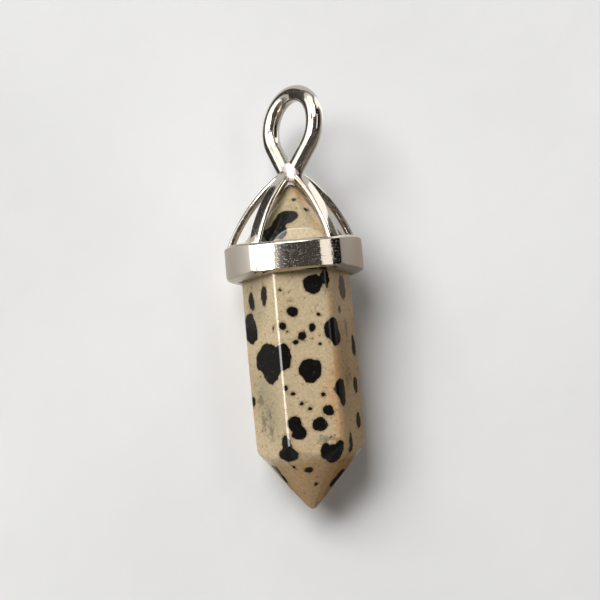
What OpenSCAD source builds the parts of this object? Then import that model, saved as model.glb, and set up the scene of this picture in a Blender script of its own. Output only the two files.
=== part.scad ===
// Crystal point pendant: a six-sided spotted stone ground to a point at both ends,
// held at its upper shoulder by a cast cap of a band, six bowed arms and a wire loop.
// Lengths are millimetres. The pendant lies on its back on the plane z = 0,
// with its long axis near Y, the loop towards +Y and the front face upwards.

/* [Stone] */
// Length from tip to tip
stone_length = 29.4; // [20:0.5:60]
// Distance across opposite corners at the widest place
stone_width = 10; // [6:0.1:20]
// Distance across opposite corners beside the lower shoulder
stone_width_low = 9.72; // [6:0.02:20]
// Distance across opposite corners inside the band
stone_width_high = 9.86; // [6:0.02:20]
// Height of the lower point at the corners of the hexagon
point_low = 5.1; // [3:0.1:12]
// Height of the upper point at the corners of the hexagon
point_high = 5.65; // [3:0.1:12]
// Distance that the hand-ground lower tip stands off the stone's axis
tip_shift = 0.33; // [0:0.01:0.8]
// Distance that the upper apex stands off the stone's axis, the other way
apex_shift = 0.28; // [0:0.01:0.8]
// Width lost from each pair of corners when the stone is polished
corner_soft = 0.08; // [0:0.02:0.4]

/* [Band] */
// Distance between opposite side corners
band_width = 12.4; // [8:0.1:24]
// Distance between the crowns of the front and back faces
band_depth = 11.3; // [7:0.1:24]
// Height at the side corners
band_height = 3.3; // [2:0.1:6]
// Height lost at the upper rim of the front and back faces
dip_top = 0.58; // [0.02:0.02:0.8]
// Height lost at the lower rim of the front and back faces
dip_low = 0.08; // [0.02:0.02:0.8]
// Half of the angle that the front face spans, in degrees
front_half_angle = 39; // [28:1:45]
// Crown of the front and back faces above their corners
front_crown = 0.9; // [0.2:0.05:1.4]
// Crown of the four side faces above their corners
side_crown = 0.35; // [0.1:0.05:0.8]
// Turn of the band against the stone, in degrees
band_turn = -4.6; // [-6:0.2:6]
// Gap between the bore and the stone
bore_gap = 0.1; // [0.05:0.01:0.4]

/* [Arms] */
// Width of one arm across its flat
arm_width = 1.3; // [0.8:0.1:2]
// Thickness of one arm
arm_thickness = 0.66; // [0.5:0.02:1.4]
// Height of the bow above a straight arm
arm_bow = 0.58; // [0.1:0.02:1.2]

/* [Loop] */
// Diameter of the loop's wire
wire = 1.54; // [0.8:0.02:2.4]
// Width of the loop between the wire's centre lines
loop_width = 6.15; // [4:0.1:12]
// Height of the loop's centre line above the joint
loop_height = 7.15; // [5:0.1:14]
// Direction that the loop's plane faces along, in degrees from the front
loop_turn = 34; // [0:1:90]
// Lean of the loop against the stone's axis, in degrees
loop_lean = 8; // [0:0.5:10]
// Distance that the joint stands off the stone's axis
joint_offset = 0.36; // [0:0.02:0.8]

/* [Hidden] */
$fn = 96;

stone_colour = [0.78, 0.71, 0.60];
metal_colour = [0.72, 0.70, 0.68];

// Heights along the stone's axis, from its lower tip.
band_base = 20.75;
band_top = band_base + band_height;
foot_height = band_top - 0.15;
joint_height = 30.5;

// Each arm's foot: its direction from the band's front, and its distance from the axis.
arm_feet = [
    [front_half_angle, band_width / 2 - 0.74],
    [-front_half_angle, band_width / 2 - 0.72],
    [90, band_width / 2 - 0.9],
    [-90, band_width / 2 - 0.6],
    [180 - front_half_angle, band_width / 2 - 0.72],
    [180 + front_half_angle, band_width / 2 - 0.72]
];

// Angle at which the pendant lies, raised at the band by the band's greater depth.
lie_angle = 5.09;
// Place of the lower tip once the pendant lies on the plane.
tip_at = [0, -19.176, 3.79];

// The width of the flat at the middle of each facet of a point.
facet_share = 0.975;
// The blunt end that is left where the facets would meet.
tip_blunt = 0.42;

// A direction on the plane across the axis, from an angle that starts at the front.
function heading(angle) = [sin(angle), -cos(angle)];

function hexagon(width, height, shift) =
    [for (i = [0 : 5]) concat(width / 2 * heading(30 + 60 * i) + [shift, 0], [height])];

// Triangles from a low apex round a ring of six points that starts at index first.
function low_fan(apex, first) =
    [for (i = [0 : 5]) [apex, first + i, first + (i + 1) % 6]];

function high_fan(apex, first) =
    [for (i = [0 : 5]) [apex, first + (i + 1) % 6, first + i]];

// Quads between one ring of six points and the next ring above it.
function ring_walls(first) =
    [for (i = [0 : 5]) [first + i, first + 6 + i, first + 6 + (i + 1) % 6, first + (i + 1) % 6]];

module faceted_stone() {
    low = point_low * cos(30) / facet_share;
    high = stone_length - point_high * cos(30) / facet_share;
    middle = stone_length * 0.43;
    waist = stone_length - point_high * 0.12;
    waist_width = stone_width_high * 0.235;
    points = concat(
        [[-tip_shift, 0, 0]],
        hexagon(stone_width_low, low, 0),
        hexagon(stone_width, middle, 0),
        hexagon(stone_width_high, high, 0),
        hexagon(waist_width, waist, apex_shift),
        [[apex_shift, 0, stone_length]]
    );
    faces = concat(
        low_fan(0, 1),
        ring_walls(1),
        ring_walls(7),
        ring_walls(13),
        high_fan(25, 19)
    );
    polyhedron(points = points, faces = faces);
}

// A cone that rounds the corners of a point, like the end of a pencil.
// It is wider than the stone everywhere but at that point.
module point_cone(height, width, bulge) {
    rotate_extrude()
        polygon([
            [0, 0.12],
            [tip_blunt, 0.12 + tip_blunt * 0.35],
            [width * (0.23 + bulge), height * 0.46],
            [width * 0.46, height * 0.92],
            [width * 0.504, height * 1.06],
            [width * 0.6, height * 2.2],
            [width * 0.6, height * 8],
            [0, height * 8]
        ]);
}

// Leans a cone over so that its tip moves sideways and its wide end stays level.
module lean_point(height, shift) {
    translate([shift / 2, 0, height])
        rotate([0, asin(-shift / 2 / height), 0])
            translate([0, 0, -height])
                children();
}

module crystal_point() {
    color(stone_colour)
        lay_down()
            intersection() {
                faceted_stone();
                lean_point(point_low, -tip_shift)
                    point_cone(point_low, stone_width_low, 0);
                translate([0, 0, stone_length])
                    mirror([0, 0, 1])
                        lean_point(point_high, apex_shift)
                            point_cone(point_high, stone_width_high, 0.025);
                cylinder(h = stone_length, d = stone_width - corner_soft);
            }
}

// One wall of the band: a barrel of large radius, set back so that its crown is at reach.
module band_face(angle, reach, half_chord, crown) {
    radius = (half_chord * half_chord + crown * crown) / 2 / crown;
    centre = (reach - radius) * heading(angle);
    translate([centre.x, centre.y, band_base - 1])
        cylinder(h = band_height + 2, r = radius);
}

module band_body() {
    corner = band_width / 2;
    half_front = corner * sin(front_half_angle);
    side_angle = (front_half_angle + 90) / 2;
    half_side = corner * sin((90 - front_half_angle) / 2);
    side_reach = corner * cos((90 - front_half_angle) / 2) + side_crown;
    top_radius = band_depth * band_depth / 8 / dip_top;
    low_radius = band_depth * band_depth / 8 / dip_low;
    intersection() {
        for_front_and_back(half_front);
        for_sides(side_angle, side_reach, half_side);
        // The rims are softened, most of all at the corners.
        translate([0, 0, band_base])
            rotate([0, 0, 12])
                rotate_extrude()
                    polygon([
                        [0, -0.5],
                        [corner - 1.6, -0.5],
                        [corner - 0.62, 0],
                        [corner - 0.2, 0.22],
                        [corner + 0.06, 0.75],
                        [corner + 0.08, band_height * 0.6],
                        [corner - 0.02, band_height - 0.35],
                        [corner - 0.15, band_height - 0.12],
                        [corner - 0.45, band_height],
                        [corner - 1.9, band_height + 0.5],
                        [0, band_height + 0.5]
                    ]);
        // Both rims dip towards the front and the back.
        translate([0, 0, band_top - top_radius])
            rotate([0, 90, 0])
                cylinder(h = 2 * band_width, r = top_radius, center = true, $fn = 720);
        translate([0, 0, band_base + low_radius])
            rotate([0, 90, 0])
                cylinder(h = 2 * band_width, r = low_radius, center = true, $fn = 720);
    }
}

module for_front_and_back(half_chord) {
    intersection() {
        band_face(0, band_depth / 2, half_chord, front_crown);
        band_face(180, band_depth / 2, half_chord, front_crown);
    }
}

module for_sides(angle, reach, half_chord) {
    intersection() {
        band_face(angle, reach, half_chord, side_crown);
        band_face(180 - angle, reach, half_chord, side_crown);
        band_face(180 + angle, reach, half_chord, side_crown);
        band_face(-angle, reach, half_chord, side_crown);
    }
}

module bore() {
    bore_width = stone_width_high + 0.14 + 2 * bore_gap / cos(30);
    translate([0, 0, band_base - 1])
        cylinder(h = band_height + 2, d = bore_width, $fn = 6);
}

// One arm: a bar bent to an arc from its foot on the band to the joint.
module arm(angle, foot_radius) {
    head_radius = 0.5;
    foot = foot_radius * heading(angle + band_turn);
    half_depth = band_depth / 2;
    dip = dip_top * pow(cos(angle) * foot_radius / half_depth, 2);
    start_height = foot_height - dip;
    joint = joint_offset * heading(83);
    across = foot - joint;
    run = norm(across);
    rise = joint_height - 0.2 - start_height;
    chord = norm([run - head_radius, rise]);
    radius = (chord * chord / 4 + arm_bow * arm_bow) / 2 / arm_bow;
    lift = atan2(run - head_radius, rise);
    half_turn = asin(chord / 2 / radius);
    middle = [(run + head_radius) / 2, start_height + rise / 2];
    centre = middle - (radius - arm_bow) * [cos(lift), sin(lift)];
    translate([joint.x, joint.y, 0])
        rotate([0, 0, atan2(across.y, across.x)])
            translate([centre.x, 0, centre.y])
                rotate([90, half_turn + 1.5 - lift, 0])
                    rotate_extrude(angle = 2 * half_turn + 3.5)
                        translate([radius, 0])
                            arm_section();
}

module arm_section() {
    half_width = arm_width / 2;
    half_thickness = arm_thickness / 2;
    bevel = 0.22;
    polygon([
        [-half_thickness, -half_width + bevel],
        [-half_thickness + bevel, -half_width],
        [half_thickness - bevel, -half_width],
        [half_thickness, -half_width + bevel],
        [half_thickness, half_width - bevel],
        [half_thickness - bevel, half_width],
        [-half_thickness + bevel, half_width],
        [-half_thickness, half_width - bevel]
    ]);
}

// The wire loop: an arc over two straight legs that meet at the joint.
module loop() {
    radius = loop_width / 2;
    centre = loop_height - radius;
    leg_gap = 0.45;
    reach = norm([leg_gap, centre]);
    leg = sqrt(reach * reach - radius * radius);
    splay = asin(radius / reach) - atan(leg_gap / centre);
    translate([0, 0, centre])
        rotate([90, 0, 0])
            rotate([0, 0, -splay])
                rotate_extrude(angle = 180 + 2 * splay)
                    translate([radius, 0])
                        circle(d = wire);
    for (side = [-1, 1])
        translate([side * leg_gap, 0, 0])
            rotate([0, side * splay, 0])
                cylinder(h = leg + 0.1, d = wire - 0.03);
}

module joint() {
    sphere(r = wire * 0.7);
}

module cage_cap() {
    color(metal_colour)
        lay_down() {
            difference() {
                rotate([0, 0, band_turn])
                    band_body();
                bore();
            }
            for (foot = arm_feet)
                arm(foot[0], foot[1]);
            translate(concat(joint_offset * heading(83), [joint_height])) {
                joint();
                rotate([0, loop_lean, 0])
                    rotate([0, 0, loop_turn - 90])
                        loop();
            }
        }
}

// From upright on the lower tip to lying on the plane.
module lay_down() {
    translate(tip_at)
        rotate([lie_angle - 90, 0, 0])
            children();
}

crystal_point();
cage_cap();
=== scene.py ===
"""Crystal point pendant: the looks of its spotted stone and of its cast cap, on a pale plaster table.

Lengths in the formulas are metres. Each piece is worked out upright, with the stone's lower tip at
the origin, its axis along Z and its front towards -Y, and is then laid on its back on the table.
"""

import math

import bpy
import numpy as np
from mathutils import Matrix, Vector


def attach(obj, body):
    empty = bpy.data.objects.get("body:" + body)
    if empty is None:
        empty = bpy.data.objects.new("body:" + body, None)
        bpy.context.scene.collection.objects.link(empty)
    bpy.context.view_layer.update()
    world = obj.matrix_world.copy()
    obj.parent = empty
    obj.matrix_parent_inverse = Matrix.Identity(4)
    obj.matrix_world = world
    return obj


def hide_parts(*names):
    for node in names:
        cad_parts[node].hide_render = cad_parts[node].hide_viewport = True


bl_info = {
    "name": "Crystal Point Pendant",
    "version": (1, 0, 0),
    "blender": (4, 5, 0),
    "location": "3D View > Sidebar > Pendant",
    "description": "Builds a pointed spotted stone in a cast cap with a wire loop",
    "category": "Add Mesh",
}

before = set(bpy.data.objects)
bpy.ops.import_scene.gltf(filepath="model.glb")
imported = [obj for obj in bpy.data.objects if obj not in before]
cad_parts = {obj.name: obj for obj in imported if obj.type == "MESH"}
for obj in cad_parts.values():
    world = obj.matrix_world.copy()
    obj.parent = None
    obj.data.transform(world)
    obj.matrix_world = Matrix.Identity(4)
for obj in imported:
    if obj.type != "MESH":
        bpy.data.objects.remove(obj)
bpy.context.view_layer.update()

MM = 0.001

# Samples from which a row of crowded steps is worked out.
FINE_STEPS = 6000

# How the pendant lies: the angle of its axis above the table, and the place of its lower tip.
LIE_ANGLE = math.radians(5.09)
TIP_AT = np.array([0.0, -19.176, 3.79]) * MM


# Sizes and colours


def length(name, description, default):
    """A size in metres, shown in the scene's own unit."""
    return bpy.props.FloatProperty(
        name=name, description=description, default=default, precision=5, unit="LENGTH", subtype="DISTANCE"
    )


def angle(name, description, degrees):
    """An angle, given in degrees and kept in radians."""
    return bpy.props.FloatProperty(
        name=name, description=description, default=math.radians(degrees), unit="ROTATION", subtype="ANGLE"
    )


def hex_colour(code):
    """An sRGB hex colour as linear red, green, blue and alpha. Each part c becomes c / 12.92 up to
    0.04045, and ((c + 0.055) / 1.055) ** 2.4 above it."""
    srgb = np.array([int(code[i : i + 2], 16) for i in (1, 3, 5)]) / 255
    linear = np.where(srgb <= 0.04045, srgb / 12.92, ((srgb + 0.055) / 1.055) ** 2.4)
    return (*linear.tolist(), 1.0)


def colour(name, description, code):
    """A colour, given as sRGB hex and kept linear."""
    return bpy.props.FloatVectorProperty(
        name=name, description=description, default=hex_colour(code), size=4, min=0, max=1, subtype="COLOR"
    )


class PendantStoneSettings(bpy.types.PropertyGroup):
    """Sizes and colours of the stone."""

    full_length: length("Length", "From tip to tip", 29.4 * MM)
    width: length("Width", "Across opposite corners at the widest place", 10.0 * MM)
    width_low: length("Lower width", "Across opposite corners beside the lower shoulder", 9.72 * MM)
    width_high: length("Upper width", "Across opposite corners inside the band", 9.86 * MM)
    point_low: length("Lower point", "Height of the lower point at the corners", 5.1 * MM)
    point_high: length("Upper point", "Height of the upper point at the corners", 5.65 * MM)
    tip_shift: length("Tip offset", "How far the lower tip stands off the axis", 0.33 * MM)
    apex_shift: length("Apex offset", "How far the apex stands off the axis, the other way", 0.28 * MM)
    ground: colour("Ground", "Cream ground of the stone", "#C9B592")
    warm: colour("Warm ground", "Peach-tan patches of the ground", "#CCA67A")
    cool: colour("Cool ground", "Greenish-gray patches of the ground", "#B3AA8B")
    # The tan and olive grounds are painted shade: tan darkens the right faces and the lower point, olive the
    # left faces and the upper facets.
    tan: colour("Tan ground", "Tan of the right faces and the lower point", "#A0794A")
    olive: colour("Olive ground", "Grayish olive patches of the left faces", "#8A8468")
    spot: colour("Spot", "Black mineral of the spots", "#11100F")


class PendantCapSettings(bpy.types.PropertyGroup):
    """Sizes and colours of the band, arms and loop."""

    band_width: length("Band width", "Between opposite side corners", 12.4 * MM)
    band_depth: length("Band depth", "Between the crowns of the front and back faces", 11.3 * MM)
    band_height: length("Band height", "At the side corners", 3.3 * MM)
    dip_top: length("Upper dip", "Height lost at the upper rim of the front and back faces", 0.58 * MM)
    dip_low: length("Lower dip", "Height lost at the lower rim of the front and back faces", 0.08 * MM)
    band_turn: angle("Band turn", "Turn of the band against the stone", -4.6)
    arm_width: length("Arm width", "Across the flat of one arm", 1.3 * MM)
    arm_thickness: length("Arm thickness", "Through one arm", 0.66 * MM)
    arm_bow: length("Arm bow", "Height of the bow above a straight arm", 0.58 * MM)
    wire: length("Wire", "Diameter of the loop's wire", 1.54 * MM)
    loop_width: length("Loop width", "Between the wire's centre lines", 6.15 * MM)
    loop_height: length("Loop height", "Of the wire's centre line above the joint", 7.15 * MM)
    loop_turn: angle("Loop turn", "Direction that the loop's plane faces along, from the front", 34)
    loop_lean: angle("Loop lean", "Lean of the loop against the stone's axis", 8)
    plating: colour("Plating", "Nickel-toned plating", "#C2BAAF")
    solder: colour("Solder", "Tin-silver solder of the joint", "#D8D0CB")


class PendantStageSettings(bpy.types.PropertyGroup):
    """Table, lights and camera."""

    table: colour("Table", "Pale plaster of the table", "#EEEEEE")
    camera_distance: length("Camera distance", "From the camera to the stone's middle", 193.45 * MM)
    light_level: bpy.props.FloatProperty(
        name="Light level",
        description="Share of each soft box's brightness",
        default=1.0,
        min=0,
        subtype="FACTOR",
    )


# Helpers


def joined(x, y, z):
    """Points from three coordinates, each stretched to the shape of all."""
    return np.stack(np.broadcast_arrays(x, y, z), axis=-1)


def turned(first, second, by):
    """A pair of coordinates turned by an angle, from the first one's direction towards the second's."""
    return math.cos(by) * first - math.sin(by) * second, math.sin(by) * first + math.cos(by) * second


def laid_down(points):
    """Turns upright points about X by the lie angle less a right angle, then moves the tip to its place."""
    x, y, z = np.moveaxis(points, -1, 0)
    return joined(x, *turned(y, z, LIE_ANGLE - math.pi / 2)) + TIP_AT


def heading(azimuth):
    """Unit direction across the axis, at an angle that starts at the front and goes to the right:
    (sin a, -cos a, 0)."""
    return joined(np.sin(azimuth), -np.cos(azimuth), 0.0)


def turned_about_axis(points, by):
    """Turns points about Z by an angle."""
    x, y, z = np.moveaxis(points, -1, 0)
    return joined(*turned(x, y, by), z)


def wrapped(turn):
    """An angle brought between minus and plus half a turn."""
    return (turn + math.pi) % (2 * math.pi) - math.pi


def bell(offset, spread):
    """A smooth hump, one in the middle: exp(-(offset / spread) ** 2)."""
    return np.exp(-((offset / spread) ** 2))


def soft_minimum(bounds, power):
    """The least of some distances, eased where two are nearly the same:
    (sum of (1 / distance) ** power) ** (-1 / power). A higher power makes a crisper edge."""
    least = bounds.min(axis=0)
    return least * ((least / bounds) ** power).sum(axis=0) ** (-1 / power)


def packed_steps(count, low, high, centres, spread, crowd):
    """Values from low to high that crowd round the centres: the sampling density is 1 + crowd times a
    bell at each centre, summed, and read back at even shares of its total."""
    fine = np.linspace(low, high, FINE_STEPS)
    density = 1 + crowd * bell(fine[:, None] - np.asarray(centres), spread).sum(axis=1)
    total = np.concatenate([[0], np.cumsum((density[1:] + density[:-1]) / 2)])
    return np.interp(np.linspace(0, total[-1], count), total, fine)


def grid_faces(rows, columns, close_rows, close_columns, first=0):
    """Quads between neighbouring points of a grid, each row and column joined to the next,
    the last also to the first where that direction closes. Corners run column first."""
    r = np.arange(rows if close_rows else rows - 1)[:, None]
    c = np.arange(columns if close_columns else columns - 1)[None, :]
    this_row, next_row = r * columns, (r + 1) % rows * columns
    c_next = (c + 1) % columns
    quads = np.stack([this_row + c, this_row + c_next, next_row + c_next, next_row + c], axis=-1)
    return (quads.reshape(-1, 4) + first).tolist()


def fan_faces(pole, ring, outward_up):
    """Triangles from a pole to each side of a closed ring."""
    after = np.roll(ring, -1)
    order = (ring, after) if outward_up else (after, ring)
    return np.stack([np.full_like(ring, pole), *order], axis=-1).tolist()


def closed_tube_faces(rows, columns, first=0):
    """Faces of a tube of rings, with a fan over each end. The middle of each end follows the rings."""
    start, end = first + rows * columns, first + rows * columns + 1
    faces = grid_faces(rows, columns, False, True, first)
    faces += fan_faces(start, first + np.arange(columns), False)
    faces += fan_faces(end, first + (rows - 1) * columns + np.arange(columns), True)
    return faces


def new_object(name, points, faces, material):
    """An object at the origin, with a mesh of these points and faces and one material."""
    mesh = bpy.data.meshes.new(name)
    mesh.from_pydata(points.reshape(-1, 3), [], faces)
    mesh.materials.append(material)
    made = bpy.data.objects.new(name, mesh)
    bpy.context.scene.collection.objects.link(made)
    return made


def new_piece(name, points, faces, material, replaced):
    """A smooth piece of laid-down points that rides on the frame and stands for the CAD node."""
    piece = new_object(name, laid_down(points), faces, material)
    piece.data.shade_smooth()
    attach(piece, "root")
    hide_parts(replaced)
    return piece


def add_attribute(piece, name, values):
    """One number for each vertex, for the material to read."""
    held = piece.data.attributes.new(name, "FLOAT", "POINT")
    held.data.foreach_set("value", np.ascontiguousarray(values, np.float32).ravel())


def new_material(name):
    """An empty node material and its tree."""
    material = bpy.data.materials.new(name)
    material.use_nodes = True
    material.node_tree.nodes.clear()
    return material, material.node_tree


def add_node(tree, kind, output=0, settings=None, inputs=None):
    """Adds a node and sets its properties. Each input is set to the value given, or linked to the socket
    given. Gives back the output asked for, or None where the node has none."""
    made = tree.nodes.new("ShaderNode" + kind)
    for name, value in (settings or {}).items():
        setattr(made, name, value)
    for name, value in (inputs or {}).items():
        if isinstance(value, bpy.types.NodeSocket):
            tree.links.new(value, made.inputs[name])
        else:
            made.inputs[name].default_value = value
    return made.outputs[output] if made.outputs else None


# The inputs of the two commonest nodes, in the order in which values are given for them.
NOISE_INPUTS = ("Vector", "Scale", "Detail", "Roughness", "Lacunarity")
RANGE_INPUTS = ("Value", "From Min", "From Max", "To Min", "To Max")


def end_tree(tree, shader, inputs, end="OutputMaterial"):
    """Adds the shader that a tree ends in and links it to the tree's output."""
    add_node(tree, end, 0, None, {"Surface": add_node(tree, shader, 0, None, inputs)})


# Stone

# Black spots that the front shows: the face they are on (0 front, -1 left, 1 right), the distance
# across from the middle of that face and the height above the tip, half sizes across and along, in
# millimetres, and the tilt of the long way from the axis, in degrees, to the right at the top.
SPOTS = [
    (0, 0.05, 27.6, 0.2, 0.2, 0),
    (0, -0.25, 26.05, 0.5, 0.48, 0),
    (0, -0.8, 26.12, 0.55, 0.5, 0),
    (0, -1.1, 25.85, 0.7, 0.68, 0),
    (0, -1.5, 25.5, 0.7, 0.72, 0),
    (0, -1.9, 24.95, 0.62, 0.7, 0),
    (0, -1.65, 24.55, 0.7, 0.85, 0),
    (0, -0.6, 25.72, 0.5, 0.5, 0),
    (-1, 1.95, 24.4, 0.9, 0.85, 0),
    (-1, 1.9, 23.9, 0.7, 0.6, 0),
    (0, 1.18, 26.52, 0.25, 0.17, 0),
    (0, 0.95, 19.6, 0.85, 0.82, 0),
    (0, 2.25, 19.95, 0.2, 0.75, 0),
    (0, 2.05, 20.2, 0.36, 0.45, 0),
    (0, -1.97, 19.3, 0.14, 0.14, 0),
    (0, -1.18, 18.3, 0.14, 0.09, 0),
    (0, -1.05, 17.3, 0.5, 0.47, 20),
    (0, 1.21, 16.9, 0.16, 0.13, 30),
    (0, -2.05, 16.1, 0.33, 0.32, 0),
    (-1, 1.85, 16.0, 0.2, 0.13, -60),
    (0, 0.55, 15.8, 0.29, 0.35, 0),
    (0, -0.4, 15.1, 0.34, 0.36, 30),
    (0, -1.03, 14.6, 0.25, 0.22, 0),
    (0, 1.1, 14.3, 0.11, 0.11, 0),
    (0, -1.6, 15.6, 0.08, 0.08, 0),
    (0, 2.2, 15.45, 0.6, 0.75, 0),
    (1, -2.1, 14.85, 0.75, 0.75, 0),
    (1, -2.3, 15.95, 0.6, 0.6, 0),
    (0, 0.06, 12.05, 1.02, 1.05, 0),
    (-1, 0.7, 13.7, 1.5, 1.1, 0),
    (0, -2.35, 13.55, 0.85, 1.0, 0),
    (-1, 0.95, 12.4, 1.1, 1.2, 0),
    (-1, -0.3, 13.35, 0.8, 0.85, 0),
    (-1, 1.95, 12.75, 1.1, 0.75, 0),
    (0, -2.25, 10.65, 0.2, 0.22, 0),
    (0, -1.68, 10.1, 0.22, 0.16, 0),
    (0, -0.99, 9.2, 0.19, 0.16, 0),
    (0, -0.29, 8.7, 0.21, 0.19, 0),
    (0, 1.0, 9.85, 0.22, 0.21, 0),
    (0, 1.25, 8.5, 0.42, 0.42, 0),
    (0, 1.6, 8.2, 0.2, 0.16, -40),
    (0, -1.75, 7.5, 0.62, 0.7, 0),
    (0, -1.4, 6.7, 0.62, 0.62, 0),
    (0, 0.47, 7.3, 0.66, 0.62, 0),
    (0, 1.3, 6.1, 0.14, 0.1, 0),
    (0, 0.85, 4.8, 0.55, 0.8, 0),
    (0, 1.65, 4.45, 0.72, 0.72, 0),
    (0, 2.15, 5.0, 0.5, 0.8, 0),
    (0, 1.5, 4.95, 0.5, 0.42, 0),
    (-1, 2.05, 5.65, 0.55, 0.95, 0),
    (-1, 2.0, 4.9, 0.95, 0.65, 0),
    (-1, 1.7, 3.8, 0.14, 0.42, -20),
    (0, -0.65, 3.45, 0.38, 0.28, 0),
    (0, 0.05, 2.2, 0.17, 0.22, 10),
    (-1, -0.85, 3.75, 0.4, 0.7, -12),
    (-1, -0.75, 3.05, 0.4, 0.7, -12),
    (1, 0.05, 2.9, 0.55, 0.7, -10),
    (1, 0.0, 2.3, 0.55, 0.55, -10),
    (-1, -1.1, 18.8, 0.42, 0.76, -6),
    (-1, 0.85, 19.1, 0.42, 0.88, 4),
    (-1, -1.65, 16.6, 0.95, 1.15, 0),
    (-1, -1.45, 15.8, 0.85, 0.7, 0),
    (-1, -2.15, 10.0, 0.3, 0.45, 0),
    (1, 0.2, 19.4, 0.7, 1.1, 0),
    (1, -0.9, 17.3, 0.22, 0.35, 0),
    (1, 1.55, 14.2, 0.42, 0.9, 0),
    (1, -2.05, 10.3, 0.72, 0.85, 0),
    (1, -1.85, 9.6, 0.5, 0.85, 0),
    (1, 1.2, 10.7, 0.45, 0.7, 0),
    (1, 1.25, 7.5, 0.5, 0.72, 0),
    (1, -0.9, 5.5, 0.36, 0.85, 6),
]

# Gray smudges, where the black mineral lies under the surface. The columns are the same.
SMUDGES = [
    (-1, -0.95, 9.95, 0.4, 0.6, -15),
    (-1, -0.7, 8.1, 0.4, 0.6, 0),
    (-1, 0.1, 8.4, 0.3, 0.7, -10),
    (-1, 0.2, 7.1, 0.25, 0.5, 0),
    (1, 0.2, 15.7, 0.25, 0.75, 0),
    (1, -0.1, 11.7, 0.4, 0.6, -20),
    (1, -0.6, 11.0, 0.3, 0.5, -20),
    (0, 0.85, 5.95, 0.6, 0.3, 10),
    (0, 2.1, 19.9, 0.25, 0.6, 0),
]

# Patches of painted shade in the ground: face, across, height, half sizes, and share of the tan shade, or of
# the olive shade where it is below nought. The olive ones darken the left faces, and the upper facets where
# the arms shade them.
PAINTED_SHADE_PATCHES = [
    (-1, -1.2, 18.5, 1.5, 2.2, -0.6),
    (-1, 0.2, 17.6, 0.9, 1.3, -0.25),
    (-1, -0.6, 11.0, 1.9, 2.8, -0.55),
    (-1, 0.6, 7.8, 1.6, 2.2, -0.4),
    (1, -1.0, 13.0, 1.4, 3.2, 0.15),
    (0, 0.0, 26.0, 4.0, 2.6, -0.38),
    (-1, 0.0, 26.0, 4.0, 2.6, -0.45),
]

# Spots that the front doesn't show: how many, the directions and heights between which they lie, in degrees
# and millimetres, their half sizes in millimetres, and the share of them that has each size.
HIDDEN_SPOTS = 75
HIDDEN_SIDES = (92, 256)
HIDDEN_HEIGHTS = (1.5, 27.6)
HIDDEN_SIZES = [1.0, 0.65, 0.42, 0.2, 0.14]
HIDDEN_SHARES = [0.16, 0.14, 0.2, 0.3, 0.2]
HIDDEN_SEED = 11
OUTLINE_SEED = 3

# Waves of a spot's ragged outline: how many go round it, and how high they are.
RAGGED_WAVES = [(3, 0.045), (5, 0.03), (9, 0.02)]

# The stone's form: an apothem as a share of the corner's reach, how much of that reach the rounding
# leaves, the share of the length at which it is widest, and the round limit's inset at the corners.
FLAT = math.cos(math.radians(30))
CORNER_SHARE = 0.975
WIDEST_SHARE = 0.43
CORNER_INSET = 0.04 * MM
MEAN_REACH = 4.6 * MM
MEAN_APOTHEM = 4.3 * MM

# The lower facets would meet this far below the blunt tip. The upper ones turn blunter at the waist, given
# as a share of the point's height from the top, and have this share of their reach left there.
FACETS_MEET = 0.3 * MM
WAIST_SHARE = 0.12
WAIST_REACH = 0.235

# A narrow bevel lies between the sides and the upper facets.
BEVEL_ANGLE = math.radians(12)
BEVEL_BELOW = 0.75 * MM

# The crisp edge left of the front is a narrow flat, about 0.25 mm wide, eight degrees off the corner.
EDGE_AZIMUTH = math.radians(-22)
EDGE_OFF_CORNER = math.radians(8)
EDGE_DEPTH = 0.066 * MM

# Powers of the soft minimum: over most of the stone, what the crisp edge adds, what the soft edge takes
# off, and the factor more at the bevel. Below this reach the power falls with it.
MEAN_CRISP = 70
LEFT_CRISP = 530
RIGHT_SOFT = 40
BEVEL_CRISP = 3.5
CRISP_REACH = 4.2 * MM

# The domes that blunt the ends start this far inside the full length. They have this radius at their top
# and this slope further down.
END_INSET = 0.12 * MM
DOME_RADIUS = 0.45 * MM
DOME_SLOPE = 0.8

# The cone that rounds a point: distance from the end and radius there, first in metres, then as shares
# of the point's height and of the stone's width. Its bends are eased over this reach either way.
CONE_TIP = [(END_INSET, 0.3 * MM), (0.27 * MM, 0.42 * MM)]
CONE_BENDS = [(0.46, 0.23), (0.92, 0.46), (1.06, 0.504), (2.2, 0.6)]
CONE_EASE = 0.5 * MM
UPPER_BULGE = 0.025

# The rings crowd where the sides meet the points, at about this share of a point's height.
SHOULDER_SHARE = 0.88

# Rings of the stone and points in each.
STONE_ROWS = 302
STONE_COLUMNS = 288


def stone_levels(settings):
    """Heights on the axis: where the sides end at the lower and at the upper point, where the upper facets
    turn blunter, and the top. A point's height is given at the corners, and is less between them."""
    share = FLAT / CORNER_SHARE
    top = settings.full_length
    high, waist = top - settings.point_high * share, top - settings.point_high * WAIST_SHARE
    return settings.point_low * share, high, waist, top


def stone_centre(settings, height):
    """Place of the centre line across the axis, and how far each cone's own centre stands from it."""
    low, high, waist, top = stone_levels(settings)
    places = [-settings.tip_shift, 0, 0, settings.apex_shift, settings.apex_shift]
    centre = np.interp(height, [0, low, high, waist, top], places)
    low_cone = -settings.tip_shift * (1 - height / (2 * settings.point_low))
    high_cone = settings.apex_shift * (1 - (top - height) / (2 * settings.point_high))
    return centre, low_cone - centre, high_cone - centre


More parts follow.
